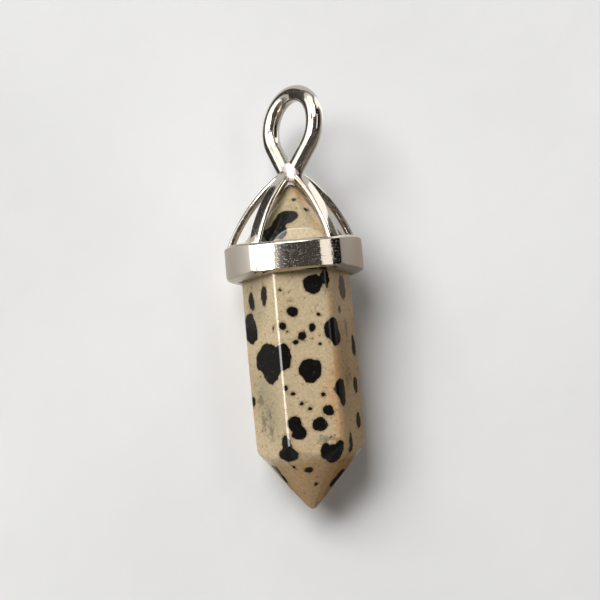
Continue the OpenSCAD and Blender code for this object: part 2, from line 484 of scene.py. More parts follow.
def stone_radius(settings, azimuth, height):
    """Distance from the stone's centre line to its surface, as a soft minimum of what bounds it. The bounds
    are six sides at apothem / cos(a - side), six facets of each point, whose apothem grows evenly from
    its end, a bevel under the upper facets, a flat on one edge, a cone that rounds each point like a
    pencil's, a small dome that blunts each end, and a round limit on the corners. The power sets how far
    edges are rounded: it is high at the crisp edge left of the front and low at the soft one right of it."""
    low_shift, high_shift = stone_centre(settings, height)[1:]
    low, high, waist, top = stone_levels(settings)
    half_low, half_mid, half_high = (
        width / 2 * FLAT for width in (settings.width_low, settings.width, settings.width_high)
    )
    side = np.interp(height, [low, top * WIDEST_SHARE, high], [half_low, half_mid, half_high])
    low_facet = half_low * (height + FACETS_MEET) / (low + FACETS_MEET)
    high_facet = half_high * np.where(
        height < waist,
        1 - (1 - WAIST_REACH) * (height - high) / (waist - high),
        WAIST_REACH * (top - height) / (top - waist),
    )
    bevel = half_high - (height - high + BEVEL_BELOW) * math.tan(BEVEL_ANGLE)
    edge = side / FLAT * math.cos(EDGE_OFF_CORNER) - EDGE_DEPTH
    low_cone = cone_radius(height, settings.point_low, settings.width_low, 0.0)
    high_cone = cone_radius(top - height, settings.point_high, settings.width_high, UPPER_BULGE)
    bounds = [
        low_cone + np.sin(azimuth) * low_shift,
        high_cone + np.sin(azimuth) * high_shift,
        dome_radius(height),
        dome_radius(top - height),
        settings.width / 2 - CORNER_INSET,
        edge / facing(azimuth, EDGE_AZIMUTH),
    ]
    for k in range(6):
        walls = (side, low_facet, np.maximum(high_facet, 1e-7), bevel)
        bounds += [wall / facing(azimuth, math.radians(60 * k)) for wall in walls]
    bounds = np.stack([np.broadcast_to(b, np.broadcast(azimuth, height).shape) for b in bounds])
    left_edge = bell(wrapped(azimuth + math.radians(29)), math.radians(7))
    right_edge = bell(wrapped(azimuth - math.radians(30)), math.radians(12))
    power = MEAN_CRISP + LEFT_CRISP * left_edge - RIGHT_SOFT * right_edge
    power = power * (1 + BEVEL_CRISP * bell(height - high, 1.1 * MM))
    return soft_minimum(bounds, power * np.clip(bounds.min(axis=0) / CRISP_REACH, 0.08, 1))


def facing(azimuth, wall_azimuth):
    """Cosine of the angle to a wall's own direction, kept above nought, where the wall bounds nothing."""
    return np.maximum(np.cos(azimuth - wall_azimuth), 0.05)


def cone_radius(distance, height, width, bulge):
    """Radius of the cone that rounds a point, at a distance from its end: a broken line whose bends are
    eased by averaging it. The bulge is a share of the width that its first bend stands out by."""
    places, radii = np.array(CONE_TIP + [(height * place, width * share) for place, share in CONE_BENDS]).T
    radii[len(CONE_TIP)] += width * bulge
    fine = np.linspace(-4 * MM, places[-1], 1200)
    line = np.interp(fine, places, radii)
    line = np.where(fine < places[0], radii[0] + (fine - places[0]) * DOME_SLOPE, line)
    reach = int(CONE_EASE / (fine[1] - fine[0]))
    weights = np.hanning(2 * reach + 1)
    eased = np.convolve(np.pad(line, reach, mode="edge"), weights / weights.sum(), mode="valid")
    return np.maximum(np.interp(distance, fine, eased), 1e-6)


def dome_radius(distance):
    """Radius of the rounded end: sqrt(2 R s + (k s) ** 2) at a depth s below its top."""
    depth = np.maximum(distance - END_INSET, 0)
    return np.sqrt(2 * DOME_RADIUS * depth + (DOME_SLOPE * depth) ** 2) + 1e-9


def spot_distance(points, spots, rng):
    """Signed distance to the nearest spot: for each, the ellipse's reach
    sqrt((u / half_u) ** 2 + (v / half_v) ** 2) over a ragged outline, which is 1 + three sines round it,
    less one, times its lesser half size. Across is measured as the straight distance less its part along
    the axis, so that a spot carries on over an edge. Lobes that touch flow together: the least is a soft
    one, -k log(sum of exp(-distance / k))."""
    blend = 0.12 * MM
    total = np.zeros(len(points))
    for centre, across_way, half_across, half_along, tilt in spots:
        offset = points - centre
        along = offset[:, 2]
        across = np.sqrt(np.maximum((offset**2).sum(axis=1) - along**2, 0)) * np.sign(offset @ across_way)
        u, v = turned(across, along, tilt)
        around = np.arctan2(v, u)
        starts = rng.uniform(0, 2 * math.pi, len(RAGGED_WAVES))
        waves = [high * np.sin(count * around + start) for (count, high), start in zip(RAGGED_WAVES, starts)]
        reach = np.hypot(u / half_across, v / half_along) / (1 + sum(waves))
        distance = (reach - 1) * min(half_across, half_along)
        total += np.exp(-np.clip(distance / blend, -30, 30))
    return -blend * np.log(total)


def painted_shade_shares(points):
    """Share of painted shade in the ground: tan, or olive where it is below nought, on the faces that get
    less light. Tan on the right faces, along the soft edge between the front and the right, and on the lower
    point, and both in patches, each share * exp(-(u / half_u) ** 2 - (v / half_v) ** 2). All is in degrees
    and millimetres."""
    azimuth = np.degrees(np.arctan2(points[:, 0], -points[:, 1]))
    height = points[:, 2] / MM
    right = 0.46 * np.clip((azimuth - 31) / 9, 0, 1) * np.clip((150 - azimuth) / 20, 0, 1)
    edge = 0.3 * bell(azimuth - 30, 4) * np.clip((height - 4) / 2, 0, 1)
    low = 0.6 * np.clip((4.6 - height) / 0.6, 0, 1) * np.clip((120 - azimuth) / 60, 0.5, 1)
    share = right + edge + low
    for face, across, middle, half_across, half_along, most in PAINTED_SHADE_PATCHES:
        turn = math.radians(60 * face)
        sideways = points @ [math.cos(turn), math.sin(turn), 0] / MM
        near = np.abs(azimuth - 60 * face) < 40
        share = share + most * bell(sideways - across, half_across) * bell(height - middle, half_along) * near
    return np.clip(share, -1, 1)


def placed_spots(settings, table):
    """Each spot's centre on the stone, the way across its face, its half sizes and its tilt."""
    placed = []
    for face, across, height, half_across, half_along, tilt in table:
        turn = math.radians(60 * face)
        level = np.array([height * MM])
        apothem = stone_radius(settings, np.array([turn]), level)[0]
        azimuth = turn + math.atan2(across * MM, apothem)
        radius = stone_radius(settings, np.array([azimuth]), level)[0]
        centre = heading(azimuth) * radius + joined(stone_centre(settings, level)[0], 0, level)[0]
        sideways = np.array([math.cos(turn), math.sin(turn), 0.0])
        placed.append((centre, sideways, half_across * MM, half_along * MM, math.radians(tilt)))
    return placed


def hidden_spots():
    """Spots for the faces that the front doesn't show, scattered with the same mix of sizes,
    each kept clear of the others by the sum of their sizes and a gap. All lengths are millimetres."""
    rng = np.random.default_rng(HIDDEN_SEED)
    gap, reach, apothem = 0.35, MEAN_REACH / MM, MEAN_APOTHEM / MM
    kept = []
    while len(kept) < HIDDEN_SPOTS:
        azimuth = rng.uniform(*np.radians(HIDDEN_SIDES))
        height = rng.uniform(*HIDDEN_HEIGHTS)
        size = rng.choice(HIDDEN_SIZES, p=HIDDEN_SHARES) * rng.uniform(0.85, 1.15)
        if all(math.hypot((azimuth - a) * reach, height - h) > size + s + gap for a, h, s, _ in kept):
            kept.append((azimuth, height, size, rng.uniform(0.8, 1.5)))
    table = []
    for azimuth, height, size, stretch in kept:
        face = round(math.degrees(azimuth) / 60)
        across = apothem * math.tan(azimuth - math.radians(60 * face))
        table.append((face, across, height, size, size * stretch, rng.uniform(-40, 40)))
    return table


# Noises in the stone, with the size of their largest grains in millimetres, their detail, roughness and
# lacunarity: clouds of two sizes in the ground, speckle, sparse flecks, the wander of the spots' borders,
# the marks of tumbling in the gloss, and a swell of the surface by microns.
STONE_NOISES = [
    ("clouds", 7, 3, 0.5, 2.0),
    ("patches", 4, 2, 0.5, 2.3),
    ("grains", 0.25, 2, 0.5, 2.0),
    ("flecks", 0.42, 3, 0.7, 2.0),
    ("wander", 0.5, 4, 0.65, 2.0),
    ("marks", 0.6, 4, 0.5, 2.0),
    ("swell", 3, 1, 0.5, 2.0),
]

# Sums of those and of the attributes: name, first, factor on the first, and what it is added to.
STONE_SUMS = [
    ("warm_by_edge", "edge_nearness", 0.22, "clouds"),
    ("ragged_spot", "off_border", 0.35 * MM, "spot_distance"),
    ("ragged_smudge", "off_border", 1.6 * MM, "smudge_distance"),
    ("relief", "marks", 0.12, "swell"),
]

# Shares: name, what it is read from, between which values, what they become, and how it goes between.
STONE_SHARES = [
    ("warm", "warm_by_edge", 0.5, 0.78, 0.0, 1.0, "SMOOTHSTEP"),
    ("cool", "patches", 0.56, 0.76, 0.0, 0.7, "SMOOTHSTEP"),
    ("grain_tint", "grains", 0.3, 0.7, 0.86, 1.11, "LINEAR"),
    ("fleck", "flecks", 0.6, 0.68, 0.0, 0.75, "SMOOTHSTEP"),
    # Painted highlights: gray specks in the black spots where the flecks are highest.
    ("painted_sparkle", "flecks", 0.6, 0.75, 0.0, 1.0, "SMOOTHSTEP"),
    ("haze", "ragged_smudge", -0.35 * MM, 0.3 * MM, 0.62, 0.0, "SMOOTHSTEP"),
    ("border", "ragged_spot", 0.0, 0.22 * MM, 0.55, 0.0, "SMOOTHSTEP"),
    ("mineral", "ragged_spot", -0.03 * MM, 0.05 * MM, 1.0, 0.0, "SMOOTHSTEP"),
    ("gloss", "marks", 0.3, 0.7, 0.1, 0.2, "LINEAR"),
]

STONE_ATTRIBUTES = ["spot_distance", "smudge_distance", "edge_nearness", "painted_shade_share"]


def polished_spotted_stone(settings):
    """Fine-grained spotted jasper-like rock, ground to facets and tumbled with polish.
    The eye gets a cream ground with fine tan speckle and warm and cool clouds, near-black ragged spots with
    thin brown borders, and a soft gloss, like that of an eggshell glaze, over all. Painted shade darkens the
    ground to tan on the right faces and the lower point, and to olive on the left faces and the upper facets,
    and gray specks painted in the spots stand in for highlights."""
    material, tree = new_material("tumble_polished_spotted_jasper")
    place = add_node(tree, "TexCoord", "Object")
    signal = {name: add_node(tree, "Attribute", "Fac", {"attribute_name": name}) for name in STONE_ATTRIBUTES}
    for name, size, *rest in STONE_NOISES:
        inputs = dict(zip(NOISE_INPUTS, (place, 1 / (size * MM), *rest)))
        signal[name] = add_node(tree, "TexNoise", "Fac", None, inputs)
    signal["off_border"] = add_node(tree, "Math", 0, {"operation": "SUBTRACT"}, {0: signal["wander"], 1: 0.5})
    # The olive painted shade lies where the painted shade share is below nought.
    signal["olive"] = add_node(tree, "Math", 0, {"operation": "MULTIPLY"}, {0: signal["painted_shade_share"], 1: -1.0})
    for name, first, factor, base in STONE_SUMS:
        inputs = {0: signal[first], 1: factor, 2: signal[base]}
        signal[name] = add_node(tree, "Math", 0, {"operation": "MULTIPLY_ADD"}, inputs)
    for name, source, *rest, way in STONE_SHARES:
        inputs = dict(zip(RANGE_INPUTS, (signal[source], *rest)))
        signal[name] = add_node(tree, "MapRange", "Result", {"interpolation_type": way}, inputs)

    # The spots' black is mixed with gray specks, painted highlights.
    inputs = {0: signal["painted_sparkle"], 6: settings.spot, 7: hex_colour("#4A4A48")}
    dark = add_node(tree, "Mix", 2, {"data_type": "RGBA"}, inputs)
    finish = settings.ground
    # Each layer lies over the ones before it. The speckle scales the ground under all that follow it.
    for name, tint in (
        ("warm", settings.warm),
        ("cool", settings.cool),
        # Painted shade: tan on the faces that get less light, olive on the left faces and the upper facets.
        ("painted_shade_share", settings.tan),
        ("olive", settings.olive),
        ("grain_tint", None),
        ("fleck", hex_colour("#7A5E3A")),
        ("haze", hex_colour("#5E5A54")),
        ("border", hex_colour("#8C7355")),
        ("mineral", dark),
    ):
        if tint is None:
            inputs = {0: finish, "Scale": signal[name]}
            finish = add_node(tree, "VectorMath", 0, {"operation": "SCALE"}, inputs)
        else:
            finish = add_node(tree, "Mix", 2, {"data_type": "RGBA"}, {0: signal[name], 6: finish, 7: tint})

    bump = add_node(tree, "Bump", "Normal", None, {"Height": signal["relief"], "Distance": 0.03 * MM})
    inputs = {"Base Color": finish, "Roughness": signal["gloss"], "Normal": bump}
    end_tree(tree, "BsdfPrincipled", {**inputs, "IOR": 1.54, "Specular IOR Level": 0.3})
    return material


class PENDANT_OT_add_stone(bpy.types.Operator):
    """Add the six-sided spotted stone, ground to a point at both ends"""

    bl_idname = "pendant.add_stone"
    bl_label = "Spotted Stone"

    def execute(self, context):
        """Rings round the centre line, each point at stone_radius in its heading. The steps crowd the
        corners, the shoulders and the ends, where the last eight rings shrink evenly by a ratio."""
        settings = context.scene.pendant_stone
        corners = np.radians(np.arange(7) * 60 - 30)
        around = packed_steps(STONE_COLUMNS + 1, corners[0], corners[-1], corners, math.radians(3), 6)
        azimuth = around[None, :-1]
        low = settings.point_low * SHOULDER_SHARE
        high = settings.full_length - settings.point_high * SHOULDER_SHARE
        first, last = END_INSET, settings.full_length - END_INSET
        heights = packed_steps(STONE_ROWS, first, last, [low, high, first, last], 0.6 * MM, 4)
        smallest, shrunk = 0.0005 * MM, 8
        heights[1 : shrunk + 1] = first + np.geomspace(smallest, heights[shrunk] - first, shrunk)
        heights[-shrunk - 1 : -1] = last - np.geomspace(smallest, last - heights[-shrunk - 1], shrunk)[::-1]
        height = heights[1:-1, None]
        radius = stone_radius(settings, azimuth, height)
        rings = heading(azimuth) * radius[..., None] + joined(stone_centre(settings, height)[0], 0, height)
        ends = np.array([[-settings.tip_shift, 0, first], [settings.apex_shift, 0, last]])
        points = np.concatenate([rings.reshape(-1, 3), ends])
        faces = closed_tube_faces(*radius.shape)
        stone = polished_spotted_stone(settings)
        piece = new_piece("spotted_stone", points, faces, stone, "crystal_point")
        rng = np.random.default_rng(OUTLINE_SEED)
        spots = placed_spots(settings, SPOTS + hidden_spots())
        add_attribute(piece, "spot_distance", spot_distance(points, spots, rng))
        add_attribute(piece, "painted_shade_share", painted_shade_shares(points))
        smudges = placed_spots(settings, SMUDGES)
        add_attribute(piece, "smudge_distance", spot_distance(points, smudges, rng))
        azimuths = np.arctan2(points[:, 0], -points[:, 1])
        off_edge = np.abs(wrapped(6 * azimuths - math.pi) / 6) * MEAN_REACH
        soft_edge = bell(wrapped(azimuths - math.radians(32)), math.radians(12))
        add_attribute(piece, "edge_nearness", bell(off_edge, 0.9 * MM) * (0.35 + 0.65 * soft_edge))
        return {"FINISHED"}


# Cap

BAND_BASE = 20.75 * MM
JOINT_HEIGHT = 30.5 * MM
JOINT_OFFSET = 0.36 * MM
JOINT_AZIMUTH = math.radians(83)
FRONT_HALF_ANGLE = 39

# How crisp the band's outer edges and the bore's corners are, as powers of the soft minimum.
BAND_CRISP = 330
BORE_CRISP = 150

# Bulge of the band's front and back faces, and of its four side faces.
FRONT_CROWN = 0.9 * MM
SIDE_CROWN = 0.35 * MM

# What the band's reach loses at its lower and upper rims, and the heights over which the losses fade.
LOW_RIM_LOSS, LOW_RIM_FADE = 0.7 * MM, 0.25 * MM
TOP_RIM_LOSS, TOP_RIM_FADE = 0.53 * MM, 0.13 * MM

# The bore is an even gap larger than the stone at its widest.
BORE_GAP = 0.1 * MM

# Points round the band's section, and sections round the band.
SECTION_POINTS = 105
BAND_COLUMNS = 520


def joint_place():
    """Where the arms and the loop meet."""
    return heading(JOINT_AZIMUTH) * JOINT_OFFSET + [0, 0, JOINT_HEIGHT]


def plated_casting(settings):
    """Zinc alloy, cast, tumbled and plated bright in a nickel tone. The eye gets a warm gray
    mirror, whose reflections are crisp in shape but broken by the fine grain of the casting, and a satin
    skin where the polishing wheel didn't reach, on the band's four side faces."""
    material, tree = new_material("bright_nickel_plated_casting")
    place = add_node(tree, "TexCoord", "Object")
    # The casting's grain is 0.09 mm, its slow unevenness 0.9 mm.
    grain, slow = (
        add_node(tree, "TexNoise", "Fac", None, dict(zip(NOISE_INPUTS, (place, 1 / (size * MM), 2.0))))
        for size in (0.09, 0.9)
    )
    inputs = dict(zip(RANGE_INPUTS, (grain, 0.52, 0.7, 0.05, 0.3)))
    pits = add_node(tree, "MapRange", "Result", {"interpolation_type": "SMOOTHSTEP"}, inputs)
    satin = add_node(tree, "Attribute", "Fac", {"attribute_name": "satin"})
    rough = add_node(tree, "Mix", 0, None, {0: satin, 2: pits, 3: 0.42})
    relief = add_node(tree, "Math", 0, {"operation": "MULTIPLY_ADD"}, {0: grain, 1: 0.07, 2: slow})
    bump = add_node(tree, "Bump", "Normal", None, {"Height": relief, "Distance": 0.014 * MM})
    inputs = {"Base Color": settings.plating, "Metallic": 1.0, "Roughness": rough, "Normal": bump}
    end_tree(tree, "BsdfPrincipled", inputs)
    return material


def cap_material(settings):
    """The cap's one finish, made once."""
    return bpy.data.materials.get("bright_nickel_plated_casting") or plated_casting(settings)


def melted_solder(settings):
    """Tin-silver solder, melted on and left unpolished. The eye gets a lumpy metal that is whitish and
    half dull, because the skin of flux and oxide on it scatters the light."""
    material, tree = new_material("melted_tin_silver_solder")
    place = add_node(tree, "TexCoord", "Object")
    # The skin is lumpy over 0.35 mm.
    inputs = dict(zip(NOISE_INPUTS, (place, 1 / (0.35 * MM), 3.0)))
    lumps = add_node(tree, "TexNoise", "Fac", None, inputs)
    inputs = dict(zip(RANGE_INPUTS, (lumps, 0.3, 0.7, 0.42, 0.65)))
    rough = add_node(tree, "MapRange", "Result", None, inputs)
    bump = add_node(tree, "Bump", "Normal", None, {"Height": lumps, "Distance": 0.05 * MM})
    inputs = {"Base Color": settings.solder, "Metallic": 0.6, "Roughness": rough, "Normal": bump}
    end_tree(tree, "BsdfPrincipled", inputs)
    return material


def band_outer(settings, azimuth, height):
    """Outer radius of the band: the soft minimum of six barrel faces and of a rim profile. A barrel of
    radius R whose centre stands d before the axis is met at d cos t + sqrt(R ** 2 - (d sin t) ** 2)."""
    corner = settings.band_width / 2
    front_half = math.radians(FRONT_HALF_ANGLE)
    side_half = (math.pi / 2 - front_half) / 2
    side_at = (math.pi / 2 + front_half) / 2
    side_reach = corner * math.cos(side_half) + SIDE_CROWN
    front = settings.band_depth / 2, corner * math.sin(front_half), FRONT_CROWN
    side = side_reach, corner * math.sin(side_half), SIDE_CROWN
    walls = [(0, *front), (math.pi, *front)]
    walls += [(at, *side) for at in (side_at, math.pi - side_at, math.pi + side_at, -side_at)]
    bounds = []
    for at, reach, half_chord, crown in walls:
        barrel = (half_chord**2 + crown**2) / 2 / crown
        off = reach - barrel
        turn = azimuth - at
        bounds.append(off * np.cos(turn) + np.sqrt(np.maximum(barrel**2 - (off * np.sin(turn)) ** 2, 0)))
    low_loss = LOW_RIM_LOSS * np.exp(-height / LOW_RIM_FADE)
    top_loss = TOP_RIM_LOSS * np.exp(-(settings.band_height - height) / TOP_RIM_FADE)
    bounds.append(corner + 0.08 * MM - low_loss - top_loss)
    return soft_minimum(np.stack(np.broadcast_arrays(*bounds)), BAND_CRISP)


def band_bore(settings, azimuth):
    """Radius of the six-sided bore, its corners a little rounded, as a soft minimum like the band's."""
    apothem = settings.width / 2 * FLAT + BORE_GAP
    bounds = [apothem / facing(azimuth, math.radians(60 * k)) for k in range(6)]
    return soft_minimum(np.stack(bounds), BORE_CRISP)


def band_section(tall):
    """Points round the band's section: share of the way from the outer wall to the bore, inset from that
    wall into the metal, and height. The outer rims are bevels, 55 degrees off the wall below and 38 above,
    and the bore's rims are small. Each corner is eased: the outline is read at even steps of 0.01 mm and
    averaged over a short stretch either way, then read back at steps that crowd the corners."""
    low_bevel, low_inset = 0.28 * MM, 0.4 * MM
    top_bevel, top_inset = 0.25 * MM, 0.19 * MM
    inner = 0.12 * MM
    corners = np.array([
        [0, 0, low_bevel],
        [0, 0, tall - top_bevel],
        [0, top_inset, tall],
        [1, -inner, tall],
        [1, 0, tall - inner],
        [1, 0, inner],
        [1, -inner, 0],
        [0, low_inset, 0],
        [0, 0, low_bevel],
    ])
    wall = 0.9 * MM
    steps = np.linalg.norm(np.diff(corners * [wall, 1, 1], axis=0), axis=1)
    run = np.concatenate([[0], np.cumsum(steps)])
    even = np.linspace(0, run[-1], int(run[-1] / (0.01 * MM)) + 1)[:-1]
    reach = 5
    weights = np.hanning(2 * reach + 3)[1:-1]
    weights /= weights.sum()
    read = packed_steps(SECTION_POINTS + 1, 0, run[-1], run, 0.07 * MM, 9)[:-1]
    columns = []
    for column in corners.T:
        line = np.interp(even, run, column)
        eased = np.convolve(np.concatenate([line[-reach:], line, line[:reach]]), weights, mode="valid")
        columns.append(np.interp(read, even, eased, period=run[-1]))
    return np.stack(columns, axis=-1)


class PENDANT_OT_add_band(bpy.types.Operator):
    """Add the cast band round the stone's upper shoulder"""

    bl_idname = "pendant.add_band"
    bl_label = "Band"

    def execute(self, context):
        """The section of the ring is carried round the axis. Each of its points lies at outer * (1 - share) +
        bore * share - inset from the axis, and at a height between the two rims, each of which loses
        its dip times (y / half depth) ** 2 towards the front and the back."""
        settings = context.scene.pendant_cap
        corners = [at + side for at in (0, 180) for side in (-FRONT_HALF_ANGLE, FRONT_HALF_ANGLE)]
        corners += [-90, 90, 270]
        bore_corners = np.radians(np.arange(6) * 60 - 30) - settings.band_turn
        marks = np.concatenate([np.radians(corners), bore_corners])
        around = packed_steps(BAND_COLUMNS + 1, -math.pi / 2, 1.5 * math.pi, marks, math.radians(1.5), 8)
        azimuth = around[None, :-1]
        tall = settings.band_height
        share, inset, height = band_section(tall).T[:, :, None]
        outer = band_outer(settings, azimuth, height)
        bore = band_bore(context.scene.pendant_stone, azimuth + settings.band_turn)
        radius = outer * (1 - share) + bore * share - inset
        depth_share = (np.cos(azimuth) * radius / (settings.band_depth / 2)) ** 2
        low, top = settings.dip_low * depth_share, settings.dip_top * depth_share
        points = heading(azimuth) * radius[..., None]
        points[..., 2] = BAND_BASE + low + (tall - low - top) * height / tall
        points = turned_about_axis(points, settings.band_turn)
        faces = grid_faces(*radius.shape, True, True)
        band = new_piece("cast_band", points, faces, cap_material(settings), "cage_cap")
        off_front = np.minimum(np.abs(wrapped(azimuth)), np.abs(wrapped(azimuth - math.pi)))
        past_corner = np.degrees(off_front) - FRONT_HALF_ANGLE - 0.5
        add_attribute(band, "satin", np.clip(past_corner / 1.5, 0, 1) + 0 * radius)
        return {"FINISHED"}


# The arms' feet: direction from the front, in degrees, and distance from the axis, in millimetres.
ARM_FEET = [
    (39, 5.46),
    (-39, 5.48),
    (90, 5.3),
    (-90, 5.6),
    (141, 5.48),
    (219, 5.48),
]

# The arms start this far under the band's rim and end this far beside and under the joint's middle.
ARM_SUNK = 0.15 * MM
ARM_END = np.array([0.5, -0.2]) * MM

# Power of the arm's rounded section, and the factor by which its arc runs on past both ends.
ARM_POWER = 3.2
ARM_RUN_ON = 1.03

# Points round an arm's section and rings along it.
ARM_SIDES = 48
ARM_RINGS = 49


class PENDANT_OT_add_arms(bpy.types.Operator):
    """Add the six bowed arms that rise from the band to the joint"""

    bl_idname = "pendant.add_arms"
    bl_label = "Arms"

    def execute(self, context):
        """Each arm is a rounded bar, |u / a| ** n + |v / b| ** n = 1 with ARM_POWER as n, carried along an
        arc of a circle from the band to the joint."""
        settings = context.scene.pendant_cap
        around = np.linspace(0, 2 * math.pi, ARM_SIDES + 1)[:-1]
        bend = 2 / ARM_POWER
        thick, wide = (
            (np.sign(wave) * np.abs(wave) ** bend * size / 2)[None, :, None]
            for wave, size in ((np.cos(around), settings.arm_thickness), (np.sin(around), settings.arm_width))
        )
        joint = joint_place()
        level_joint, up = joint * [1, 1, 0], np.array([0, 0, 1])
        bow = settings.arm_bow
        places, faces = [], []
        for degrees, millimetres in ARM_FEET:
            azimuth, reach = math.radians(degrees), millimetres * MM
            across = heading(azimuth + settings.band_turn) * reach - level_joint
            dip = settings.dip_top * (math.cos(azimuth) * reach / (settings.band_depth / 2)) ** 2
            run = np.linalg.norm(across)
            out = across / run
            start = np.array([run, BAND_BASE + settings.band_height - dip - ARM_SUNK])
            end = np.array([0, JOINT_HEIGHT]) + ARM_END
            chord = np.linalg.norm(end - start)
            radius = (chord**2 / 4 + bow**2) / 2 / bow
            along = (end - start) / chord
            outward = np.array([along[1], -along[0]])
            centre = (start + end) / 2 - (radius - bow) * outward
            # The arm runs on a little past both ends, into the band and into the solder.
            half_turn = math.asin(chord / 2 / radius) * ARM_RUN_ON
            turn = np.linspace(-half_turn, half_turn, ARM_RINGS)[:, None]
            ray = np.cos(turn) * outward + np.sin(turn) * along
            path = centre + radius * ray
            spine = level_joint + path[:, :1] * out + path[:, 1:] * up
            away = ray[:, :1] * out + ray[:, 1:] * up
            tube = spine[:, None] + away[:, None] * thick + np.cross(up, out) * wide
            faces += closed_tube_faces(ARM_RINGS, ARM_SIDES, len(places) * (ARM_RINGS * ARM_SIDES + 2))
            places.append(np.concatenate([tube.reshape(-1, 3), spine[:1], spine[-1:]]))
        points = np.concatenate(places)
        new_piece("bowed_arms", points, faces, cap_material(settings), "cage_cap")
        return {"FINISHED"}


# Bumps of the solder lump: direction from the front and rise above level, in degrees, height as a share
# of the lump's radius, and spread, in degrees.
SOLDER_BUMPS = [
    (2, -46, 1.02, 30),
    (8, 2, 0.82, 36),
    (-30, 18, 0.3, 26),
    (32, -30, 0.25, 22),
    (120, 0, 0.1, 40),
    (200, 10, 0.1, 40),
]

# Half the gap between the wire's two legs at the joint, and the place of a leg's foot there.
LEG_GAP = 0.45 * MM
LEG_FOOT = np.array([0.9 * LEG_GAP, -0.35 * MM])

# Points round the wire, and along its arc and its legs. Rings of the lump and points in each.
WIRE_SIDES = 40
ARC_STEPS = 121
LEG_STEPS = 15
LUMP_ROWS = 59
LUMP_COLUMNS = 96


def tube_along(path, up, radius, sides):
    """Rings of a round wire: path + radius * (cos b * n + sin b * m), with n and m square to the path."""
    tangent = np.gradient(path, axis=0)
    tangent /= np.linalg.norm(tangent, axis=1, keepdims=True)
    m = np.cross(tangent, up)
    m /= np.linalg.norm(m, axis=1, keepdims=True)
    n = np.cross(m, tangent)
    around = np.linspace(0, 2 * math.pi, sides + 1)[None, :-1, None]
    return path[:, None] + radius * (np.cos(around) * n[:, None] + np.sin(around) * m[:, None])


class PENDANT_OT_add_loop(bpy.types.Operator):
    """Add the wire loop and the joint it is fused to"""

    bl_idname = "pendant.add_loop"
    bl_label = "Loop and Joint"

    def execute(self, context):
        """The wire follows a leg, an arc and a leg, all in one leaning plane. The legs run on into the
        joint."""
        settings = context.scene.pendant_cap
        radius = settings.loop_width / 2
        centre = settings.loop_height - radius
        splay = math.asin(radius / math.hypot(LEG_GAP, centre)) - math.atan(LEG_GAP / centre)
        turn = np.linspace(-splay, math.pi + splay, ARC_STEPS)
        arc = np.stack([radius * np.cos(turn), centre + radius * np.sin(turn)], -1)
        share = np.linspace(0, 1, LEG_STEPS + 1)[:-1, None]
        right = LEG_FOOT * (1 - share) + arc[0] * share
        flat = np.concatenate([right, arc, right[::-1] * [-1, 1]])
        plane_turn = settings.loop_turn - math.pi / 2
        x, y, z = turned_about_axis(joined(flat[:, 0], 0, flat[:, 1]), plane_turn).T
        x, z = turned(x, z, -settings.loop_lean)
        path = joined(x, y, z) + joint_place()
        normal = turned_about_axis(np.array([0.0, 1.0, 0.0]), plane_turn)
        rings = tube_along(path, normal, settings.wire / 2, WIRE_SIDES)
        points = np.concatenate([rings.reshape(-1, 3), path[:1], path[-1:]])
        faces = closed_tube_faces(*rings.shape[:2])
        new_piece("wire_loop", points, faces, cap_material(settings), "cage_cap")
        self.add_joint(settings)
        return {"FINISHED"}

    def add_joint(self, settings):
        """The lump of solder: radius R (1 + sum of height * exp(-(angle to its middle / spread) ** 2)) in
        each direction."""
        rise = np.linspace(-math.pi / 2, math.pi / 2, LUMP_ROWS + 2)[1:-1, None]
        around = np.linspace(0, 2 * math.pi, LUMP_COLUMNS + 1)[None, :-1]
        way = joined(np.cos(rise) * np.cos(around), np.cos(rise) * np.sin(around), np.sin(rise))
        way = np.concatenate([way.reshape(-1, 3), [[0, 0, -1], [0, 0, 1]]])
        swell = 1
        for azimuth, above, height, spread in SOLDER_BUMPS:
            level = math.radians(above)
            middle = heading(math.radians(azimuth)) * math.cos(level) + [0, 0, math.sin(level)]
            off = np.arccos(np.clip(way @ middle, -1, 1))
            swell = swell + height * bell(off, math.radians(spread))
        points = way * (settings.wire / 2 * swell)[:, None] + joint_place()
        faces = closed_tube_faces(LUMP_ROWS, LUMP_COLUMNS)
        new_piece("joint", points, faces, melted_solder(settings), "cage_cap")


# Stage

LIGHT_DISTANCE = 1.2

# Soft boxes: name, angle right of overhead and lean towards the loop's end, in degrees, breadth from side
# to side and length along the pendant, in metres, brightness, tint, and whether reflections show them.
SOFT_BOXES = [
    ("window", -28, 26, 0.85, 0.68, 5.6, (1, 1, 1), False),
    ("low_window", 5, 68, 1.65, 0.5, 0.5, (1, 1, 1), False),
    ("key_left", -36.5, 8, 0.37, 0.33, 5.5, (1, 1, 1), True),
    ("strip_right", 33.5, 4, 0.27, 0.75, 1.3, (1, 0.97, 0.93), True),
]

# Cards on a sphere round the pendant: name, directions from the loop's end and angles above level, in
# degrees, and brightness. The rim cards and the one at the back are what the stone's narrow bevel shows,
# and the edge card is what its crisp edge shows.
CARD_DISTANCE = 250 * MM
CARD_STEPS = 14
CARD_TINT = "#FFFEFC"
SKY_CARDS = [
    ("white_card_left", (-112, -42), (-4, 41), 2.4),
    ("white_card_low", (-40, 14), (20, 42), 2.2),
    ("white_card_back", (-14, 15), (54, 70), 8.0),
    ("gray_card_low", (-40, 20), (10, 20), 1.0),
    ("rim_card_back", (-14, 15), (40, 54), 20.0),
    ("rim_card_left", (-42, -15), (36, 64), 20.0),
    ("edge_card", (-104, -70), (43, 61), 17.0),
]

# Brightness of the haze beside the bright soft box at the left, from its edge on, and where it lies.
HAZE_STEPS = [0.95, 0.65, 0.42, 0.27, 0.17, 0.1]
HAZE_SIDES = (-125, -45)
HAZE_LOW = 62
HAZE_RISE = 2.4
